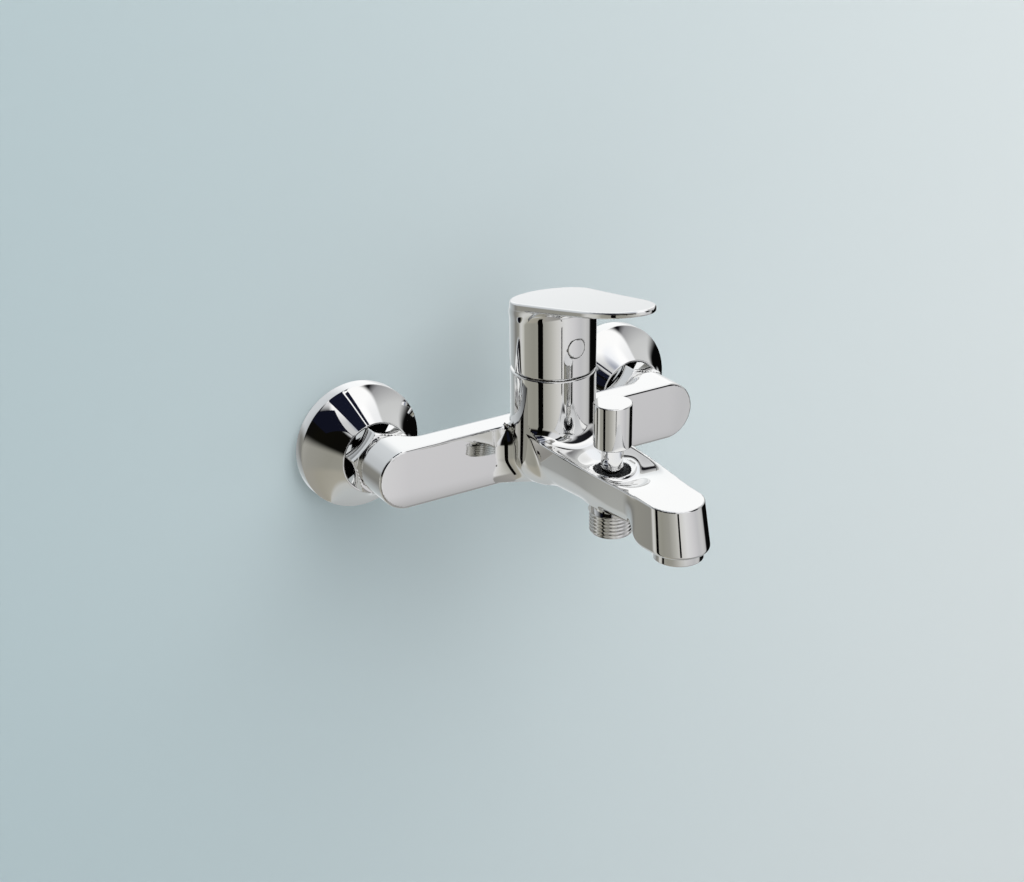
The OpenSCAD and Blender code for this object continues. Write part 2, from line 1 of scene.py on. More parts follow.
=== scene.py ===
"""Chrome bath faucet on a wall, at the photograph's angle.

The CAD frame is in metres. Shapes are made here in mm and scaled when they become meshes.
"""
import math

import bmesh
import bpy
import numpy as np
from mathutils import Matrix, Vector


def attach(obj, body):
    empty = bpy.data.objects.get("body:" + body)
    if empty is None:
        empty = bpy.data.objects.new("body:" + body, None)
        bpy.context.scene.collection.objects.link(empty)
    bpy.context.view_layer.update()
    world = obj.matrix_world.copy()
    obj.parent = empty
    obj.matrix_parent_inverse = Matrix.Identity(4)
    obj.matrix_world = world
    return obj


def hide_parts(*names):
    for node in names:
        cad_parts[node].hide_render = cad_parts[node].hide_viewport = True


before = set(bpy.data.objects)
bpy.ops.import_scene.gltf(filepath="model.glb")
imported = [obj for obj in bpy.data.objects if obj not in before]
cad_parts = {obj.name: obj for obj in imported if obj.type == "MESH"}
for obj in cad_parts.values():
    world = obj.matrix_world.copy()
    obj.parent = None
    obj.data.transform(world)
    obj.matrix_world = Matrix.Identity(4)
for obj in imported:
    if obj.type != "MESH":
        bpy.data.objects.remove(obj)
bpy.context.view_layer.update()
MM = 0.001

# ---------- sizes, in mm, as in the CAD ----------
INLET_X = 75.0
BODY_Y = -64.7  # axis of the upright body and of the lever's turn
BODY_R = 20.6
BODY_TOP = 45.3
BOTTOM = -14.0
CARTRIDGE_R = 18.55  # cavity in the top of the body
ARM_R = 15.0
ARM_Z = 1.0
ARM_FRONT = -56.4
ARM_BACK = -36.0
ARM_END_BACK = -36.8  # where the arm's round end starts to narrow
ARM_END_FACE = -32.8
SPOUT_Y = -167.4  # axis of the aerator
NOSE_Y = -165.6  # centre of the spout's round nose
SPOUT_TOP = 15.5
SPOUT_DEPTH = 22.5
DIV_Y = -115.1  # axis of the diverter
BORE_R = 8.6  # bore below the well
WELL_R = 9.3
BOSS_R = 9.9
RIM_Z = 10.5
SKIRT_Z = 46.0
SKIRT_IN = 18.2
LEVER_Z = 80.75  # top of the lever above the body's axis
LEVER_SLOPE = 0.197
LEVER_CURVE = 0.00018
BUTTON_Z = 60.7
PIVOT_Z = 37.5
LIFT = math.radians(15)


# ---------- fields: signed distances in mm ----------
def gradient(field, p, h=0.03):
    """Unit outward direction of a field at each point."""
    g = np.stack([field(p + e) - field(p - e) for e in np.eye(3) * h], 1)
    return g / np.maximum(np.linalg.norm(g, axis=1), 1e-9)[:, None]


def merge(fa, fb, r):
    """Union of two fields with a rolling-ball fillet of radius r, a number or a function of the points."""

    def field(p):
        a, b = fa(p), fb(p)
        out = np.minimum(a, b)
        rr = r(p) if callable(r) else np.full(len(p), float(r))
        near = np.nonzero((a < rr) & (b < rr))[0]
        if len(near):
            q = p[near]
            c = np.clip((gradient(fa, q) * gradient(fb, q)).sum(1), -0.98, 0.995)
            u, v, rn = rr[near] - a[near], rr[near] - b[near], rr[near]
            inside = (u > c * v) & (v > c * u)
            arc = rn - np.sqrt(np.maximum(u * u + v * v - 2 * u * v * c, 0) / (1 - c * c))
            out[near] = np.where(inside, arc, out[near])
        return out

    return field


def meet(fa, fb, r):
    """Intersection of two fields with an edge rounded to radius r."""
    joined = merge(lambda p: -fa(p), lambda p: -fb(p), r)
    return lambda p: -joined(p)


def cut(fa, *holes):
    """Field a without the holes, with sharp edges."""
    return lambda p: np.max([fa(p)] + [-h(p) for h in holes], axis=0)


def corner(a, b, r):
    """Intersection of two distances at right angles to each other, with an edge of radius r."""
    return np.minimum(-r, np.maximum(a, b)) + np.hypot(np.maximum(r + a, 0), np.maximum(r + b, 0))


def softening(a, b, k):
    """How far a soft edge of width k moves the surface where two distances are close to each other."""
    return np.maximum(k - np.abs(a - b), 0) ** 2 / (4 * k)


def blend(fa, fb, k):
    """Union of two fields that flow into each other without a visible edge, over a width k."""

    def field(p):
        a, b = fa(p), fb(p)
        near = np.maximum(k - np.abs(a - b), 0) / k
        return np.minimum(a, b) - k * near**3 / 6

    return field


def post(r, z0, z1, x=0.0, y=0.0):
    """Upright cylinder."""
    return lambda p: np.maximum(
        np.hypot(p[:, 0] - x, p[:, 1] - y) - r, np.maximum(z0 - p[:, 2], p[:, 2] - z1)
    )


def spline(*knots):
    """Smooth curve through the knots (t, value): a natural cubic, straight beyond its ends."""
    t, v = np.array(sorted(knots), float).T
    n, h = len(t), np.diff(t)
    a, rhs = np.eye(n), np.zeros(n)
    for i in range(1, n - 1):
        a[i, i - 1 : i + 2] = h[i - 1], 2 * (h[i - 1] + h[i]), h[i]
        rhs[i] = 6 * ((v[i + 1] - v[i]) / h[i] - (v[i] - v[i - 1]) / h[i - 1])
    m = np.linalg.solve(a, rhs)

    def curve(at):
        q = np.clip(at, t[0], t[-1])
        i = np.clip(np.searchsorted(t, q) - 1, 0, n - 2)
        s, e = q - t[i], t[i + 1] - q
        out = (m[i] * e**3 + m[i + 1] * s**3) / (6 * h[i])
        out += (v[i] / h[i] - m[i] * h[i] / 6) * e + (v[i + 1] / h[i] - m[i + 1] * h[i] / 6) * s
        first = (v[1] - v[0]) / h[0] - h[0] * (2 * m[0] + m[1]) / 6
        last = (v[-1] - v[-2]) / h[-1] + h[-1] * (m[-2] + 2 * m[-1]) / 6
        return out + first * np.minimum(at - t[0], 0) + last * np.maximum(at - t[-1], 0)

    return curve


def step(t):
    """Smooth rise from 0 to 1."""
    t = np.clip(t, 0, 1)
    return t * t * t * (t * (6 * t - 15) + 10)


# ---------- surfaces from fields ----------
def surface(field, lo, hi, cell, moves=5):
    """Points, quads and normals of the surface where the field is zero.

    A coarse pass finds the blocks of cells that the surface crosses. Each point is then moved onto the
    surface, and along it towards the middle of its neighbours.
    """
    block = 8
    lo = np.array(lo, float) - cell * 1.5
    nb = np.ceil((np.array(hi) + cell * 1.5 - lo) / (cell * block)).astype(int)
    mid = np.stack(np.meshgrid(*[np.arange(k) for k in nb], indexing="ij"), -1).reshape(-1, 3)
    far = field(lo + (mid + 0.5) * block * cell)
    grid = np.repeat(np.repeat(np.repeat(far.reshape(nb), block, 0), block, 1), block, 2)
    near = mid[np.abs(far) < block * cell * 1.25]
    inner = np.stack(np.meshgrid(*[np.arange(block)] * 3, indexing="ij"), -1).reshape(-1, 3)
    for part in np.array_split(near, max(1, len(near) // 400)):
        at = (part[:, None, :] * block + inner[None]).reshape(-1, 3)
        grid[tuple(at.T)] = field(lo + at * cell)
    solid = grid < 0
    total, count = np.zeros(grid.shape + (3,), np.float32), np.zeros(grid.shape, np.int16)
    faces = []
    index = np.arange(grid.size).reshape(grid.shape)
    for axis in range(3):
        a = [slice(None)] * 3
        b = [slice(None)] * 3
        a[axis], b[axis] = slice(0, -1), slice(1, None)
        cross = np.argwhere(solid[tuple(a)] != solid[tuple(b)])
        nxt = cross.copy()
        nxt[:, axis] += 1
        g0, g1 = grid[tuple(cross.T)], grid[tuple(nxt.T)]
        point = cross.astype(float)
        point[:, axis] += g0 / (g0 - g1)
        u, v = [k for k in range(3) if k != axis]
        ring = []
        for du, dv in ((0, 0), (-1, 0), (-1, -1), (0, -1)):
            c = cross.copy()
            c[:, u] += du
            c[:, v] += dv
            np.add.at(total, tuple(c.T), point)
            np.add.at(count, tuple(c.T), 1)
            ring.append(index[tuple(c.T)])
        faces.append(np.stack(ring, 1))
    faces = np.concatenate(faces)
    used, faces = np.unique(faces, return_inverse=True)
    faces = faces.reshape(-1, 4)
    cells = np.unravel_index(used, grid.shape)
    points = lo + total[cells] / count[cells][:, None] * cell
    for k in range(moves):
        n = gradient(field, points)
        points -= np.clip(field(points), -cell, cell)[:, None] * n
        if k < moves - 2:
            mean, many = np.zeros_like(points), np.zeros(len(points))
            for i in range(4):
                for j in (1, 3):
                    np.add.at(mean, faces[:, i], points[faces[:, (i + j) % 4]])
                np.add.at(many, faces[:, i], 2)
            shift = mean / many[:, None] - points
            shift -= (shift * n).sum(1)[:, None] * n
            points += 0.5 * shift
    normals = gradient(field, points)
    across = np.cross(points[faces[:, 2]] - points[faces[:, 0]], points[faces[:, 3]] - points[faces[:, 1]])
    inward = (across * normals[faces[:, 0]]).sum(1) < 0
    faces[inward] = faces[inward][:, ::-1]
    return points, faces, normals


def new_object(name, points, faces, material, normals=None, smooth=True):
    """A mesh object from points in mm."""
    mesh = bpy.data.meshes.new(name)
    mesh.from_pydata((np.asarray(points) * MM).tolist(), [], [list(f) for f in faces])
    mesh.polygons.foreach_set("use_smooth", [smooth] * len(mesh.polygons))
    mesh.update()
    if normals is not None:
        mesh.normals_split_custom_set_from_vertices(np.asarray(normals).tolist())
    obj = bpy.data.objects.new(name, mesh)
    bpy.context.scene.collection.objects.link(obj)
    mesh.materials.append(material)
    return obj


def lathe(name, outline, at, axis, material, steps=192, closed=False):
    """Turns an outline of (radius, distance along the axis) round the axis, "y" towards the room or "z" up.
    Corners sharper than 25 degrees stay crisp."""
    outline = np.array(outline, float)
    turn = np.linspace(0, 2 * math.pi, steps, endpoint=False)
    r, d = outline[:, 0][:, None], outline[:, 1][:, None] * np.ones((1, steps))
    if axis == "z":
        points = np.stack([at[0] + r * np.cos(turn), at[1] + r * np.sin(turn), at[2] + d], -1)
    else:
        points = np.stack([at[0] + r * np.cos(turn), at[1] - d, at[2] + r * np.sin(turn)], -1)
    m = len(outline)
    faces = []
    for i in range(m if closed else m - 1):
        k = (i + 1) % m
        for j in range(steps):
            n = (j + 1) % steps
            faces.append((i * steps + j, i * steps + n, k * steps + n, k * steps + j))
    obj = new_object(name, points.reshape(-1, 3), faces, material)
    clean(obj)
    return obj


def clean(obj, angle=25):
    """Welds the points on the axis, turns the faces outward and marks sharp edges."""
    bm = bmesh.new()
    bm.from_mesh(obj.data)
    bmesh.ops.remove_doubles(bm, verts=bm.verts, dist=1e-7)
    bmesh.ops.recalc_face_normals(bm, faces=bm.faces)
    for e in bm.edges:
        e.smooth = len(e.link_faces) != 2 or e.calc_face_angle(0) < math.radians(angle)
    bm.to_mesh(obj.data)
    bm.free()


def rounded(points, radius, steps=6):
    """An outline with its corners rounded; radius is one number, or one for each corner."""
    points = np.array(points, float)
    n = len(points)
    radii = np.broadcast_to(radius, n)
    out = []
    for i in range(n):
        if i in (0, n - 1) or radii[i] <= 0:
            out.append(points[i])
            continue
        a, p, b = points[i - 1], points[i], points[i + 1]
        u, v = (a - p) / np.linalg.norm(a - p), (b - p) / np.linalg.norm(b - p)
        half = math.acos(np.clip(u @ v, -1, 1)) / 2
        back = min(radii[i] / math.tan(half), 0.49 * np.linalg.norm(a - p), 0.49 * np.linalg.norm(b - p))
        r = back * math.tan(half)
        centre = p + (u + v) / np.linalg.norm(u + v) * r / math.sin(half)
        s, e = p + u * back - centre, p + v * back - centre
        sweep = math.atan2(s[0] * e[1] - s[1] * e[0], s @ e)
        for k in range(steps + 1):
            c, w = math.cos(sweep * k / steps), math.sin(sweep * k / steps)
            out.append(centre + [s[0] * c - s[1] * w, s[0] * w + s[1] * c])
    return out


# ---------- materials ----------
def material(name, color, metallic, roughness, spread, scale, bump=0.0, bump_scale=300.0):
    """A Principled material whose roughness and relief vary with procedural noise."""
    m = bpy.data.materials.new(name)
    m.use_nodes = True
    nodes, links = m.node_tree.nodes, m.node_tree.links
    shader = nodes["Principled BSDF"]
    shader.inputs["Base Color"].default_value = (*color, 1)
    shader.inputs["Metallic"].default_value = metallic
    where = nodes.new("ShaderNodeTexCoord")
    noise = nodes.new("ShaderNodeTexNoise")
    noise.inputs["Scale"].default_value = scale
    noise.inputs["Detail"].default_value = 6
    links.new(where.outputs["Object"], noise.inputs["Vector"])
    scale_to = nodes.new("ShaderNodeMapRange")
    scale_to.inputs["From Min"].default_value = 0.3
    scale_to.inputs["From Max"].default_value = 0.7
    scale_to.inputs["To Min"].default_value = roughness - spread
    scale_to.inputs["To Max"].default_value = roughness + spread
    links.new(noise.outputs["Fac"], scale_to.inputs["Value"])
    links.new(scale_to.outputs["Result"], shader.inputs["Roughness"])
    if bump:
        grain = nodes.new("ShaderNodeTexNoise")
        grain.inputs["Scale"].default_value = bump_scale
        grain.inputs["Detail"].default_value = 3
        links.new(where.outputs["Object"], grain.inputs["Vector"])
        relief = nodes.new("ShaderNodeBump")
        relief.inputs["Strength"].default_value = bump
        relief.inputs["Distance"].default_value = 0.0001
        links.new(grain.outputs["Fac"], relief.inputs["Height"])
        links.new(relief.outputs["Normal"], shader.inputs["Normal"])
    return m


CHROME = material("chrome", (0.82, 0.82, 0.815), 1.0, 0.035, 0.02, 40)
BRASS = material("brass", (0.60, 0.42, 0.17), 1.0, 0.28, 0.08, 90, 0.3, 900)
STEEL = material("steel", (0.56, 0.56, 0.57), 1.0, 0.25, 0.08, 120, 0.2, 1500)
RUBBER = material("rubber", (0.012, 0.012, 0.013), 0.0, 0.6, 0.1, 200, 0.4, 2500)
WHITE = material("white_plastic", (0.80, 0.80, 0.76), 0.0, 0.38, 0.08, 80, 0.15, 1800)
GREY = material("grey_plastic", (0.045, 0.047, 0.05), 0.0, 0.42, 0.08, 80, 0.2, 1800)
CERAMIC = material("ceramic", (0.84, 0.81, 0.76), 0.0, 0.16, 0.05, 60, 0.05, 3000)
FINISH = {
    "chrome": CHROME, "brass": BRASS, "steel": STEEL, "rubber": RUBBER,
    "white_plastic": WHITE, "grey_plastic": GREY, "ceramic": CERAMIC,
}


# ---------- body casting ----------
def arm_field(p):
    """Both arms: a slightly crowned front with a crisp edge, a rounded back and a round end at each inlet."""
    ax, y, z = np.abs(p[:, 0]), p[:, 1], p[:, 2] - ARM_Z
    to_axis = np.hypot(np.maximum(ax - INLET_X, 0), z)
    outline = to_axis - ARM_R
    crown = 0.9 * np.clip(to_axis / ARM_R, 0, 1) ** 2
    front = corner(outline, ARM_FRONT - y + crown, 1.0)
    bar = np.maximum(corner(y - ARM_BACK, np.abs(z) - ARM_R, 10.0), ax - INLET_X)
    round_end = np.hypot(ax - INLET_X, z) - ARM_R
    chamfer = (round_end * 4 + (y - ARM_END_BACK) * 1.6) / 4.308
    end = np.max([round_end, chamfer, y - ARM_END_FACE], axis=0)
    both = np.minimum(bar, end) - softening(bar, end, 6.0)
    return np.maximum(front, both)


def tail_field(p):
    """Inlet tails, which the union nuts hold."""
    side = np.hypot(np.abs(p[:, 0]) - INLET_X, p[:, 2]) - 11
    return np.maximum(side, np.maximum(p[:, 1] + 26, ARM_BACK - p[:, 1]))


def body_side(p):
    return np.hypot(p[:, 0], p[:, 1] - BODY_Y) - BODY_R


def body_field(p):
    """The upright body, with a crisp top edge and a deeply rounded underside."""
    side = body_side(p)
    return np.maximum(corner(side, p[:, 2] - BODY_TOP, 0.9), corner(side, BOTTOM - p[:, 2], 17.0))


# The spout's curves, from (y, value) knots: half width, underside, radius of the lower edges, and floor of
# the hollow.
spout_width = spline(
    (-176, 13.9), (-164, 13.95), (-149, 14.6), (-130, 16.2), (-113, 17.4), (-85, 18.3), (-66, 18.8),
)
spout_bottom = spline(
    (-190, -7.1), (-164, -7.1), (-157, -7.2), (-153.5, -6.6), (-150, -5.5), (-146, -5.0),
    (-138, -5.9), (-126, -7.6), (-110, -9.6), (-94, -11.6), (-80, -13.2), (-64, -14),
)
flank_r = spline(
    (-182, 2), (-164, 2.2), (-158, 2.4), (-153, 4.2), (-149, 7),
    (-143, 8.6), (-132, 10), (-118, 13), (-100, 15.5), (-64, 17),
)
scoop_floor = spline(
    (-172, 15.5), (-166, 15.5), (-158, 15.4), (-150, 15), (-143, 14), (-137, 12.4), (-131, 10.2), (-125, 8.1),
    (-119, 6.8), (-112, 6.7), (-105, 7.9), (-98, 9.7), (-90, 11.8), (-82, 13.4), (-66, 14.4),
)


def spout_side(p):
    """Sides and nose of the spout in plan: the sides lean in underneath, and out a little at the end."""
    x, y, z = np.abs(p[:, 0]), p[:, 1], p[:, 2]
    lean = (SPOUT_TOP - z) / SPOUT_DEPTH - 0.5
    centre = NOSE_Y - 3.8 * lean
    end = step((-143 - y) / 12)
    flare = 1.1 * lean * end - 0.17 * (SPOUT_TOP - z) * (1 - end)
    along = np.maximum(y, centre)
    half = spout_width(along) + flare
    slope = spout_width(along + 0.5) - spout_width(along - 0.5)
    sides = (x - half) / np.sqrt(1 + slope * slope)
    nose = np.hypot(x, y - centre) - half
    return np.where(y < centre, nose, sides)


def spout_under(p):
    return (spout_bottom(p[:, 1]) - p[:, 2]) * 0.99


def spout_over(p):
    """Flat top with narrow rails beside the scooped hollow."""
    x, y, z = np.abs(p[:, 0]), p[:, 1], p[:, 2]
    half = spout_width(y) - 1.1
    floor = scoop_floor(y)
    depth = SPOUT_TOP - floor
    dish = floor + depth * (x / half) ** 2
    slope = np.hypot(2 * depth * x / half**2, 0.35)
    over = (z - dish) / np.sqrt(1 + slope * slope)
    crown = 0.25 * np.clip(1 - (x / 14) ** 2, 0, 1) * step((-140 - y) / 16)
    top = z - SPOUT_TOP - crown
    return np.maximum(top, over) + softening(top, over, 0.9)


def spout_field():
    """The whole spout, from the nose to just inside the body."""

    def rounded_under(p):
        return corner(spout_side(p), spout_under(p), flank_r(p[:, 1]))

    shape = meet(rounded_under, spout_over, 0.55)
    return lambda p: np.maximum(shape(p), p[:, 1] - BODY_Y - 6)


def body_fillet(p):
    """Fillet between the body and the arms: larger in front than on top, and largest underneath."""
    z = p[:, 2]
    return 8.5 - 5.0 * step((z - 5) / 11) - 3.0 * step((p[:, 1] + 60) / 12) + 5.0 * step(-z / 12)


def spout_fillet(p):
    """Fillet between the spout and the rest: larger underneath."""
    return 6.5 + 7.0 * step((2 - p[:, 2]) / 12)


def casting_field():
    """The casting with its cartridge cavity, diverter bores and aerator seat."""
    trunk = merge(body_field, arm_field, body_fillet)
    with_spout = merge(trunk, spout_field(), spout_fillet)
    with_boss = blend(with_spout, post(BOSS_R, -4, RIM_Z, 0, DIV_Y), 7.5)
    ended = meet(with_boss, lambda p: BOTTOM - p[:, 2], 1.2)
    return cut(
        lambda p: np.minimum(ended(p), tail_field(p)),
        post(CARTRIDGE_R, 34.5, 60, 0, BODY_Y),
        post(BORE_R, 2, 30, 0, DIV_Y),
        post(11.0, -20, -9.2, 0, DIV_Y),
        post(11.95, -20, -2, 0, SPOUT_Y),
    )


def make_casting():
    cell = 0.75
    points, faces, normals = surface(casting_field(), (-90, -183, -14), (90, -26, 46), cell)
    # the wall of the diverter well is thinner than the cells, so it is meshed thick and thinned here
    dx, dy = points[:, 0], points[:, 1] - DIV_Y
    r = np.hypot(dx, dy)
    wall = (r < BOSS_R) & (points[:, 2] > 2.2) & (points[:, 2] < 11)
    to = WELL_R + (np.clip(r, BORE_R, BOSS_R) - BORE_R) * (BOSS_R - WELL_R) / (BOSS_R - BORE_R)
    scale = np.where(wall & (r > 8.3), to / np.maximum(r, 1e-6), 1)
    points[:, 0] *= scale
    points[:, 1] = DIV_Y + dy * scale
    obj = new_object("casting", points, faces, CHROME, normals)
    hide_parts("body_casting")
    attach(obj, "mixer")


make_casting()


# ---------- handle ----------
def lever_plan(p):
    """Outline of the lever: a round back, tapered sides and a rounded nose."""
    x, s = np.abs(p[:, 0]), BODY_Y - p[:, 1]
    taper = 0.0925
    lean = math.sqrt(1 + taper * taper)
    sides = (x - (BODY_R * lean - taper * s)) / lean
    nose = (s - (75.2 - 0.066 * x * x)) / np.sqrt(1 + (0.132 * x) ** 2)
    back = np.hypot(x, s) - BODY_R
    return np.where(s < taper * x, back, corner(sides, nose, 4.2))


def lever_height(s):
    """Height of the lever's top at a distance s in front of the body's axis."""
    return LEVER_Z + LEVER_SLOPE * s + LEVER_CURVE * s * s


def lever_top(p):
    return (p[:, 2] - lever_height(BODY_Y - p[:, 1])) * 0.98


def lever_under(p):
    """Underside of the lever, which thins towards the nose."""
    s = BODY_Y - p[:, 1]
    thick = 3.9 - 1.1 * np.clip(s / 75, -0.2, 1)
    return (lever_height(s) - thick - p[:, 2]) * 0.98


def skirt_bottom(p):
    """Level at the front, and cut back behind so that the skirt clears the body when the lever is lifted."""
    y, z = p[:, 1] - BODY_Y, p[:, 2] - PIVOT_Z
    tilted = 8.15 - (z * math.cos(LIFT) - y * math.sin(LIFT))
    return np.maximum(SKIRT_Z - p[:, 2], tilted)


def handle_field():
    """Skirt and blade in one, hollow inside, with holes for the stem and the button."""
    blade = meet(lever_plan, lever_under, 0.9)
    joined = merge(body_side, blade, 7.0)
    topped = meet(joined, lever_top, 1.2)
    whole = meet(topped, skirt_bottom, 0.7)
    socket = post(9, 57.5, 90, 0, BODY_Y)
    cavity = post(SKIRT_IN, 30, 73, 0, BODY_Y)

    def hollow(p):
        return np.maximum(cavity(p), -socket(p))

    def stem(p):
        square = np.maximum(np.abs(p[:, 0]), np.abs(p[:, 1] - BODY_Y)) - 4.05
        return np.maximum(square, np.maximum(p[:, 2] - 69.5, 50 - p[:, 2]))

    def button_hole(p):
        return np.maximum(np.hypot(p[:, 0], p[:, 2] - BUTTON_Z) - 4.8, p[:, 1] - (BODY_Y - 18.8))

    return cut(whole, hollow, stem, button_hole)


def make_handle():
    cell = 0.55
    points, faces, normals = surface(handle_field(), (-21, -141, 45), (21, -43, 98), cell)
    obj = new_object("lever_handle", points, faces, CHROME, normals)
    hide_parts("handle")
    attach(obj, "lever")


def make_button():
    """Round button whose face follows the skirt, with a thin bevelled edge."""
    rings = [(0, 0.0), (1.5, 0), (3.0, 0), (4.1, 0), (4.35, 0.03), (4.5, 0.14), (4.55, 0.35), (4.55, 1.6)]
    steps = 96
    points, faces = [], []
    for r, back in rings:
        for j in range(steps):
            a = 2 * math.pi * j / steps
            x, z = r * math.cos(a), BUTTON_Z + r * math.sin(a)
            points.append((x, BODY_Y - math.sqrt((BODY_R + 0.12) ** 2 - x * x) + back, z))
    for i in range(len(rings) - 1):
        for j in range(steps):
            n = (j + 1) % steps
            faces.append((i * steps + j, (i + 1) * steps + j, (i + 1) * steps + n, i * steps + n))
    obj = new_object("button", points, faces, CHROME)
    clean(obj, 50)
    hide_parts("index_button")
    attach(obj, "lever")


make_handle()
make_button()


# ---------- turned and faceted pieces ----------
def rosette_outline():
    """Flared shell whose thin mouth closes round the nut."""
    rim_r, rim_d, neck_r, depth = 31.9, 6.5, 18.3, 23.5
    wall, mouth = 1.7, 17.45
    outer = []
    for i in range(41):
        t = i / 40
        flare = 0.74 * t + 0.26 * (1 - (1 - t) ** 3)
        outer.append((rim_r + (neck_r - rim_r) * flare, rim_d + (depth - rim_d) * t))
    inner = [(max(r - wall, mouth), d - 0.6) for r, d in outer]
    inner[-1] = (mouth, depth)
    points = [(rim_r - 1.7, 0), (rim_r, 0)] + outer + inner[::-1]
    radii = [0] * len(points)
    radii[1], radii[2], radii[42], radii[43] = 0.3, 0.35, 0.3, 0.2
    return rounded(points, radii, 4)


def nut_field(p):
    """Hexagon of 30 mm across its flats, with a chamfered front and a stepped bore."""
    x, y, z = p.T
    front, lip, back = -32.6, -30, -15
    turns = np.radians((14, 74, 134))
    sides = np.max([np.abs(x * math.cos(a) + z * math.sin(a)) - 15 for a in turns], axis=0)
    r = np.hypot(x, z)
    slant = (r - 15.7 - (y - front) * 1.3) / math.hypot(1, 1.3)
    bore = np.where(y > lip, 13.27, 11.2) - r
    return np.max([sides, slant, front - y, y - back, bore], axis=0)


def make_nuts():
    """Both union nuts and both rosettes."""
    cell = 0.5
    points, faces, _ = surface(nut_field, (-18, -33, -18), (18, -14, 18), cell)
    outline = rosette_outline()
    for side, x in (("left", -INLET_X), ("right", INLET_X)):
        obj = new_object("union_nut_hex_" + side, points + np.array([x, 0, 0]), faces, CHROME)
        clean(obj, 30)
        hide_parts("union_nut_" + side)
        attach(obj, "mixer")
        obj = lathe("rosette_shell_" + side, outline, (x, 0, 0), "y", CHROME, 256, True)
        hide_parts("rosette_" + side)
        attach(obj, "mixer")


make_nuts()

knob = rounded(
    [
        (0, 44.45), (8.6, 44.4), (9, 44.0), (9, 23.5), (8.5, 23), (5.2, 23), (5.2, 14.1),
        (4.6, 13.9), (4.6, 13.2), (5.2, 13.0), (5.2, 8), (2.5, 8), (2.5, 27), (0, 27),
    ],
    [0, 0.35, 0.35, 0.5, 0.5, 0.6, 0.2, 0.15, 0.15, 0.2, 0.3, 0, 0, 0],
)
obj = lathe("knob", knob, (0, DIV_Y, 0), "z", CHROME, 192)
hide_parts("diverter_knob")
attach(obj, "diverter")


def make_outlet():
    """Nipple with a real helical thread, and its collar and bore."""
    crest, root, pitch, low, high = 10.478, 9.32, 1.814, -21.0, -9.3
    steps, per_pitch = 128, 16
    rows = int((high - low) / pitch * per_pitch)
    points, faces = [], []
    for i in range(rows + 1):
        z = low + (high - low) * i / rows
        for j in range(steps):
            turn = j / steps
            phase = ((z - low) / pitch - turn) % 1.0
            wave = np.clip((abs(phase - 0.5) * 2 - 0.22) / 0.56, 0, 1)
            r = crest - (crest - root) * wave
            fade = min(np.clip((z - low) / 1.1, 0, 1), np.clip((high - z) / 0.9, 0, 1))
            r = root - 0.25 + (r - root + 0.25) * fade
            a = 2 * math.pi * turn
            points.append((r * math.cos(a), DIV_Y + r * math.sin(a), z))
    for i in range(rows):
        for j in range(steps):
            n = (j + 1) % steps
            faces.append((i * steps + j, i * steps + n, (i + 1) * steps + n, (i + 1) * steps + j))
    # the end face, the stepped bore, the tail inside the casting and the collar
    inner = [
        (9.07, low), (7.2, low), (7.2, -14.1), (5, -14.1), (5, -6.5),
        (8.85, -6.5), (8.85, -9.2), (10.9, -9.2), (10.9, high), (9.07, high),
    ]
    base = len(points)
    for r, z in inner:
        for j in range(steps):
            a = 2 * math.pi * j / steps
            points.append((r * math.cos(a), DIV_Y + r * math.sin(a), z))
    for i in range(len(inner) - 1):
        for j in range(steps):
            n = (j + 1) % steps
            q = base + i * steps
            faces.append((q + j, q + n, q + steps + n, q + steps + j))
    obj = new_object("threaded_outlet", points, faces, CHROME)
    clean(obj, 40)
    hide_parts("shower_outlet")
    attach(obj, "mixer")


make_outlet()

ring = rounded(
    [
        (11.9, -2), (11.9, -6.8), (11.5, -6.9), (11.5, -11.2),
        (9.8, -11.2), (9.8, -10.2), (10.8, -10.1), (10.8, -2),
    ],
    [0, 0.1, 0.1, 0.5, 0.3, 0, 0, 0],
)
obj = lathe("aerator_ring", ring, (0, SPOUT_Y, 0), "z", CHROME, 192, True)
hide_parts("aerator_housing")
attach(obj, "mixer")

dome = [(math.cos(a) * 18.9, math.sin(a) * 18.9 + PIVOT_Z) for a in np.radians(np.linspace(13, 58, 30))]
dome += [(math.cos(a) * 17.9, math.sin(a) * 17.9 + PIVOT_Z) for a in np.radians(np.linspace(57, 14, 30))]
obj = lathe("dome", [(min(r, 18.45), z) for r, z in dome], (0, BODY_Y, 0), "z", CHROME, 160, True)
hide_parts("dome_cover")
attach(obj, "mixer")

# inner pieces keep their CAD shapes, with a proper material
INNER = {
    "chrome": ["s_union_left", "s_union_right"],
    "brass": ["lever_stem", "retaining_nut", "diverter_rod", "valve_plate"],
    "steel": [
        "nut_ring_left", "nut_ring_right", "pivot_pin", "grub_screw", "diverter_spring", "check_valve_spring",
    ],
    "rubber": [
        "union_washer_left", "union_washer_right", "port_seals",
        "gland_seals", "valve_washers", "aerator_seal",
    ],
    "white_plastic": [
        "cartridge_housing", "disc_carrier", "rotor",
        "check_valve_housing", "check_valve_poppet", "aerator_insert",
    ],
    "grey_plastic": ["cartridge_base", "diverter_gland", "aerator_screen"],
    "ceramic": ["fixed_disc", "moving_disc"],
}
for finish, names in INNER.items():
    for name in names:
        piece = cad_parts[name]
        piece.data.materials.clear()
        piece.data.materials.append(FINISH[finish])


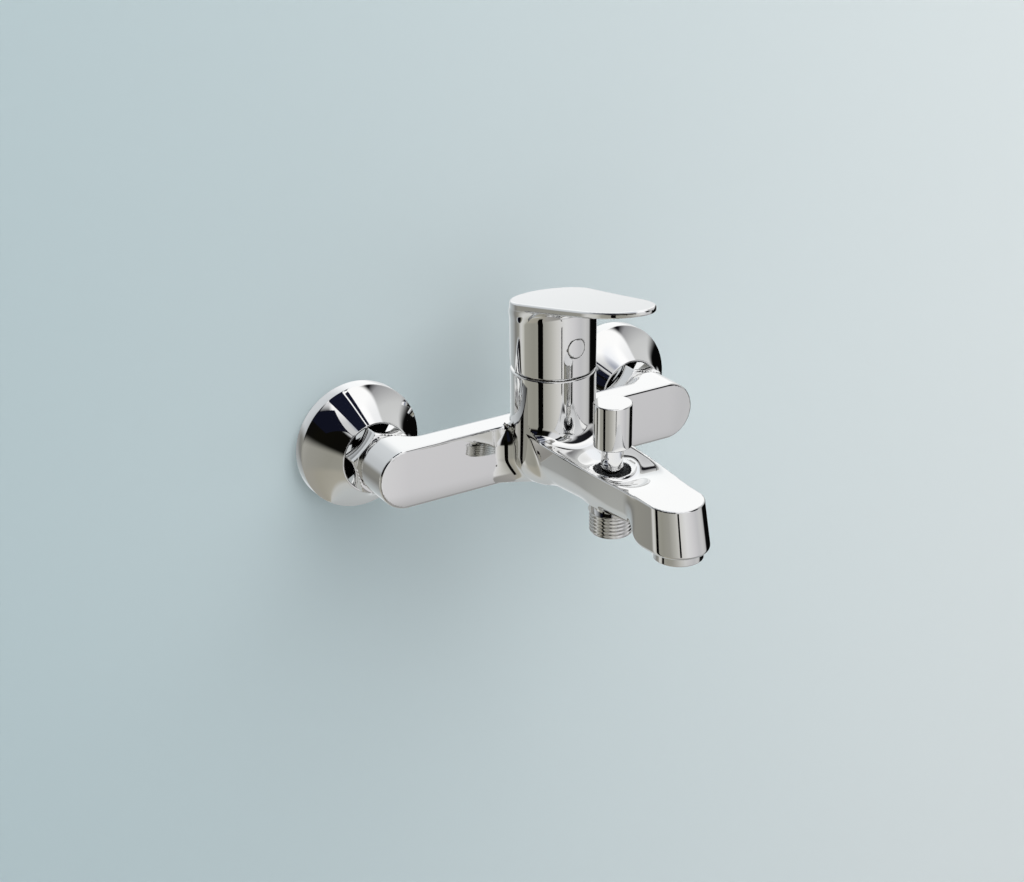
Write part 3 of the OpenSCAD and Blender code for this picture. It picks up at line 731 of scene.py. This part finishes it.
# ---------- camera, wall, floor and light ----------
def make_camera():
    """Solved from the photograph: 1024 x 882, focal length 1860 px."""
    data = bpy.data.cameras.new("camera")
    data.sensor_width = 36
    data.lens = 36 * 1860 / 1024
    data.clip_start, data.clip_end = 0.01, 20
    camera = bpy.data.objects.new("camera", data)
    bpy.context.scene.collection.objects.link(camera)
    right = Vector((0.85215941, -0.52319614, -0.00949465))
    up = Vector((0.21996091, 0.34168137, 0.91371278))
    back = Vector((-0.47480685, -0.78071739, 0.4062497))
    turn = Matrix((right, up, back)).transposed().to_4x4()
    camera.matrix_world = Matrix.Translation(Vector((-0.444898, -0.757858, 0.372529))) @ turn
    bpy.context.scene.camera = camera


def linear(rgb, gain=1.0):
    """Linear colour from 0-255 display values."""
    c = np.array(rgb, float) / 255
    return tuple(gain * np.where(c <= 0.04045, c / 12.92, ((c + 0.055) / 1.055) ** 2.4)) + (1.0,)


def panel(name, centre, facing, size, mat):
    """A flat staging panel that faces a direction."""
    w, h = size[0] / 2, size[1] / 2
    mesh = bpy.data.meshes.new(name)
    mesh.from_pydata([(-w, -h, 0), (w, -h, 0), (w, h, 0), (-w, h, 0)], [], [(0, 1, 2, 3)])
    obj = bpy.data.objects.new(name, mesh)
    bpy.context.scene.collection.objects.link(obj)
    mesh.materials.append(mat)
    obj.rotation_mode = "QUATERNION"
    obj.rotation_quaternion = Vector(facing).to_track_quat("Z", "Y")
    obj.location = centre
    return obj


def paint(name, low, high, start, end):
    """Matt paint that shades slowly from one colour to another across the panel."""
    m = bpy.data.materials.new(name)
    m.use_nodes = True
    nodes, links = m.node_tree.nodes, m.node_tree.links
    shader = nodes["Principled BSDF"]
    shader.inputs["Roughness"].default_value = 0.9
    shader.inputs["Specular IOR Level"].default_value = 0.1
    where = nodes.new("ShaderNodeTexCoord")
    split = nodes.new("ShaderNodeSeparateXYZ")
    across = nodes.new("ShaderNodeMapRange")
    across.interpolation_type = "SMOOTHSTEP"
    across.inputs["From Min"].default_value, across.inputs["From Max"].default_value = start, end
    mix = nodes.new("ShaderNodeMix")
    mix.data_type = "RGBA"
    mix.inputs["A"].default_value, mix.inputs["B"].default_value = low, high
    links.new(where.outputs["Object"], split.inputs["Vector"])
    links.new(split.outputs["X"], across.inputs["Value"])
    links.new(across.outputs["Result"], mix.inputs["Factor"])
    links.new(mix.outputs["Result"], shader.inputs["Base Color"])
    return m


def one_sided(m):
    """Seen from behind, the panel is clear, so that it never hides the object."""
    nodes, links = m.node_tree.nodes, m.node_tree.links
    side = nodes.new("ShaderNodeNewGeometry")
    clear = nodes.new("ShaderNodeBsdfTransparent")
    mix = nodes.new("ShaderNodeMixShader")
    links.new(side.outputs["Backfacing"], mix.inputs["Fac"])
    links.new(nodes["Principled BSDF"].outputs["BSDF"], mix.inputs[1])
    links.new(clear.outputs["BSDF"], mix.inputs[2])
    links.new(mix.outputs["Shader"], nodes["Material Output"].inputs["Surface"])
    return m


make_camera()
bpy.context.scene.view_settings.view_transform = "Standard"
# The wall's paint goes from a darker blue-grey at the left to a lighter grey at the right. This is painted
# light and shade, for light that falls more brightly on the right of the wall.
wall_painted_shade, wall_painted_light = linear((186, 206, 211), 1.17), linear((228, 235, 236), 1.17)
painted_light_wall = one_sided(paint("painted_light_wall", wall_painted_shade, wall_painted_light, -0.55, 0.6))
wall = panel("wall", (0, 0.0005, 0.3), (0, -1, 0), (8, 5), painted_light_wall)
wall.visible_glossy = False
floor_paint = paint("floor_paint", linear((205, 208, 208)), linear((214, 214, 213)), -2, 2)
floor = panel("floor", (0, -2.5, -1.3), (0, 0, 1), (9, 6), floor_paint)
floor.visible_glossy = False
# the rest of the room, which only the camera sees
room_paint = one_sided(paint("room_paint", linear((208, 214, 216)), linear((214, 219, 220)), -4, 4))
for name, centre, facing in (
    ("room_left", (-4, -2.5, 0.3), (1, 0, 0)),
    ("room_right", (4, -2.5, 0.3), (-1, 0, 0)),
    ("room_front", (0, -5.5, 0.3), (0, 1, 0)),
):
    side = panel(name, centre, facing, (9, 5), room_paint)
    side.visible_glossy = side.visible_diffuse = side.visible_shadow = False


def softbox(name, centre, target, size, power, color):
    """A soft rectangular lamp, which reflections don't show."""
    data = bpy.data.lights.new(name, "AREA")
    data.shape = "RECTANGLE"
    data.size, data.size_y = size
    data.energy = power
    data.color = color
    obj = bpy.data.objects.new(name, data)
    bpy.context.scene.collection.objects.link(obj)
    obj.location = centre
    obj.rotation_mode = "QUATERNION"
    obj.rotation_quaternion = (Vector(centre) - Vector(target)).to_track_quat("Z", "Y")
    obj.visible_glossy = False
    obj.visible_camera = False
    return obj


softbox("key_light", (0.9, -1.15, 1.7), (0, -0.1, 0.1), (2.2, 2.2), 27, (1.0, 0.985, 0.975))

# What the chrome reflects: bands of the studio round the object, from (azimuth, colour) stops. Azimuth 0 is
# straight out from the wall and 90 is to the right. Each band blends into the next between two elevations.
STUDIO = [
    ("low", None, [
        (-180, (176, 180, 180)), (-130, (182, 183, 180)), (-112, (160, 157, 146)), (-75, (150, 147, 136)),
        (-40, (150, 148, 144)), (20, (135, 134, 132)), (80, (155, 157, 158)), (180, (176, 180, 180)),
    ]),
    ("level", (-44, -30), [
        (-180, (168, 176, 178)), (-158, (150, 152, 152)), (-150, (120, 120, 116)), (-136, (138, 137, 130)),
        (-127, (200, 200, 198)), (-118, (190, 190, 184)), (-112, (150, 149, 141)), (-85, (140, 139, 130)),
        (-60, (146, 145, 138)), (-40, (172, 171, 165)), (-22, (198, 197, 193)), (0, (212, 212, 212)),
        (25, (200, 199, 201)), (45, (186, 186, 188)), (62, (192, 192, 192)), (76, (178, 178, 178)),
        (82, (8, 8, 8)), (130, (6, 6, 6)),
        (137, (215, 217, 218)), (165, (205, 209, 211)), (180, (168, 176, 178)),
    ]),
    ("eye", (-6, 8), [
        (-180, (205, 209, 212)), (-155, (196, 200, 203)), (-130, (160, 163, 166)), (-114, (96, 97, 98)),
        (-104, (8, 8, 7)), (-60, (14, 13, 9)), (-36, (10, 10, 12)), (-26, (205, 206, 208)),
        (22, (225, 226, 228)), (32, (30, 30, 34)), (56, (14, 14, 18)), (66, (150, 150, 152)),
        (92, (195, 196, 196)), (124, (205, 206, 206)), (134, (250, 250, 250)), (160, (245, 247, 248)),
        (180, (205, 209, 212)),
    ]),
    ("high", (44, 50), [
        (-180, (225, 232, 236)), (-120, (150, 152, 154)), (-108, (185, 186, 186)), (-62, (200, 201, 202)),
        (-26, (250, 250, 250)), (60, (252, 252, 252)),
        (100, (235, 236, 238)), (128, (240, 242, 246)), (180, (225, 232, 236)),
    ]),
    ("top", (62, 72), [
        (-180, (235, 238, 242)), (-130, (150, 156, 170)), (-60, (160, 164, 176)), (-20, (240, 242, 246)),
        (60, (255, 255, 255)), (150, (250, 250, 252)), (180, (235, 238, 242)),
    ]),
]


def make_world():
    """The studio as a world: one ramp of azimuth for each band, blended over the height of the direction."""
    world = bpy.data.worlds.new("studio")
    bpy.context.scene.world = world
    world.use_nodes = True
    nodes, links = world.node_tree.nodes, world.node_tree.links
    where = nodes.new("ShaderNodeTexCoord")
    split = nodes.new("ShaderNodeSeparateXYZ")
    links.new(where.outputs["Generated"], split.inputs["Vector"])
    flip = nodes.new("ShaderNodeMath")
    flip.operation = "MULTIPLY"
    flip.inputs[1].default_value = -1
    links.new(split.outputs["Y"], flip.inputs[0])
    turn = nodes.new("ShaderNodeMath")
    turn.operation = "ARCTAN2"
    links.new(split.outputs["X"], turn.inputs[0])
    links.new(flip.outputs[0], turn.inputs[1])
    share = nodes.new("ShaderNodeMapRange")
    share.inputs["From Min"].default_value, share.inputs["From Max"].default_value = -math.pi, math.pi
    links.new(turn.outputs[0], share.inputs["Value"])
    color = None
    for name, rise, stops in STUDIO:
        ramp = nodes.new("ShaderNodeValToRGB")
        ramp.label = name
        while len(ramp.color_ramp.elements) < len(stops):
            ramp.color_ramp.elements.new(0.5)
        for element, (azimuth, _) in zip(ramp.color_ramp.elements, stops):
            element.position = (azimuth + 180) / 360
        for element, (_, rgb) in zip(ramp.color_ramp.elements, stops):
            element.color = linear(rgb, 1.22)
        links.new(share.outputs["Result"], ramp.inputs["Fac"])
        if color is None:
            color = ramp.outputs["Color"]
            continue
        between = nodes.new("ShaderNodeMapRange")
        between.interpolation_type = "SMOOTHSTEP"
        between.inputs["From Min"].default_value = math.sin(math.radians(rise[0]))
        between.inputs["From Max"].default_value = math.sin(math.radians(rise[1]))
        links.new(split.outputs["Z"], between.inputs["Value"])
        mix = nodes.new("ShaderNodeMix")
        mix.data_type = "RGBA"
        links.new(between.outputs["Result"], mix.inputs["Factor"])
        links.new(color, mix.inputs["A"])
        links.new(ramp.outputs["Color"], mix.inputs["B"])
        color = mix.outputs["Result"]
    links.new(color, nodes["Background"].inputs["Color"])


make_world()


def card(name, rgb, centre, size, facing):
    """A card near the object that only its reflections show."""
    m = bpy.data.materials.new(name)
    m.use_nodes = True
    shader = m.node_tree.nodes["Principled BSDF"]
    shader.inputs["Base Color"].default_value = (0, 0, 0, 1)
    shader.inputs["Specular IOR Level"].default_value = 0
    shader.inputs["Emission Color"].default_value = linear(rgb)
    shader.inputs["Emission Strength"].default_value = 1.2
    obj = panel(name, centre, facing, size, m)
    obj.visible_camera = obj.visible_diffuse = obj.visible_shadow = False
    return obj


card("strip_left", (4, 4, 3), (-0.133, -0.131, -0.06), (0.034, 0.3), (0.85, 0.35, 0))
card("navy_left", (16, 18, 30), (-0.19, -0.085, 0.115), (0.07, 0.09), (0.55, 0.47, -0.67))
card("strip_nose", (4, 4, 4), (-0.034, -0.238, -0.006), (0.008, 0.04), (0.42, 0.9, 0))
# Near-black cards inside the rosettes that only reflections show: painted shade, standing in for the shaded
# wall inside each rosette.
for side, x in (("left", -0.075), ("right", 0.075)):
    card("painted_shade_" + side, (2, 2, 2), (x, 0.0002, 0), (0.045, 0.045), (0, -1, 0))
card("navy_over_left", (20, 23, 38), (-0.105, -0.07, 0.16), (0.065, 0.14), (0, 0, -1))
card("navy_far_left", (20, 23, 38), (-0.055, -0.06, 0.19), (0.018, 0.12), (0, 0, -1))
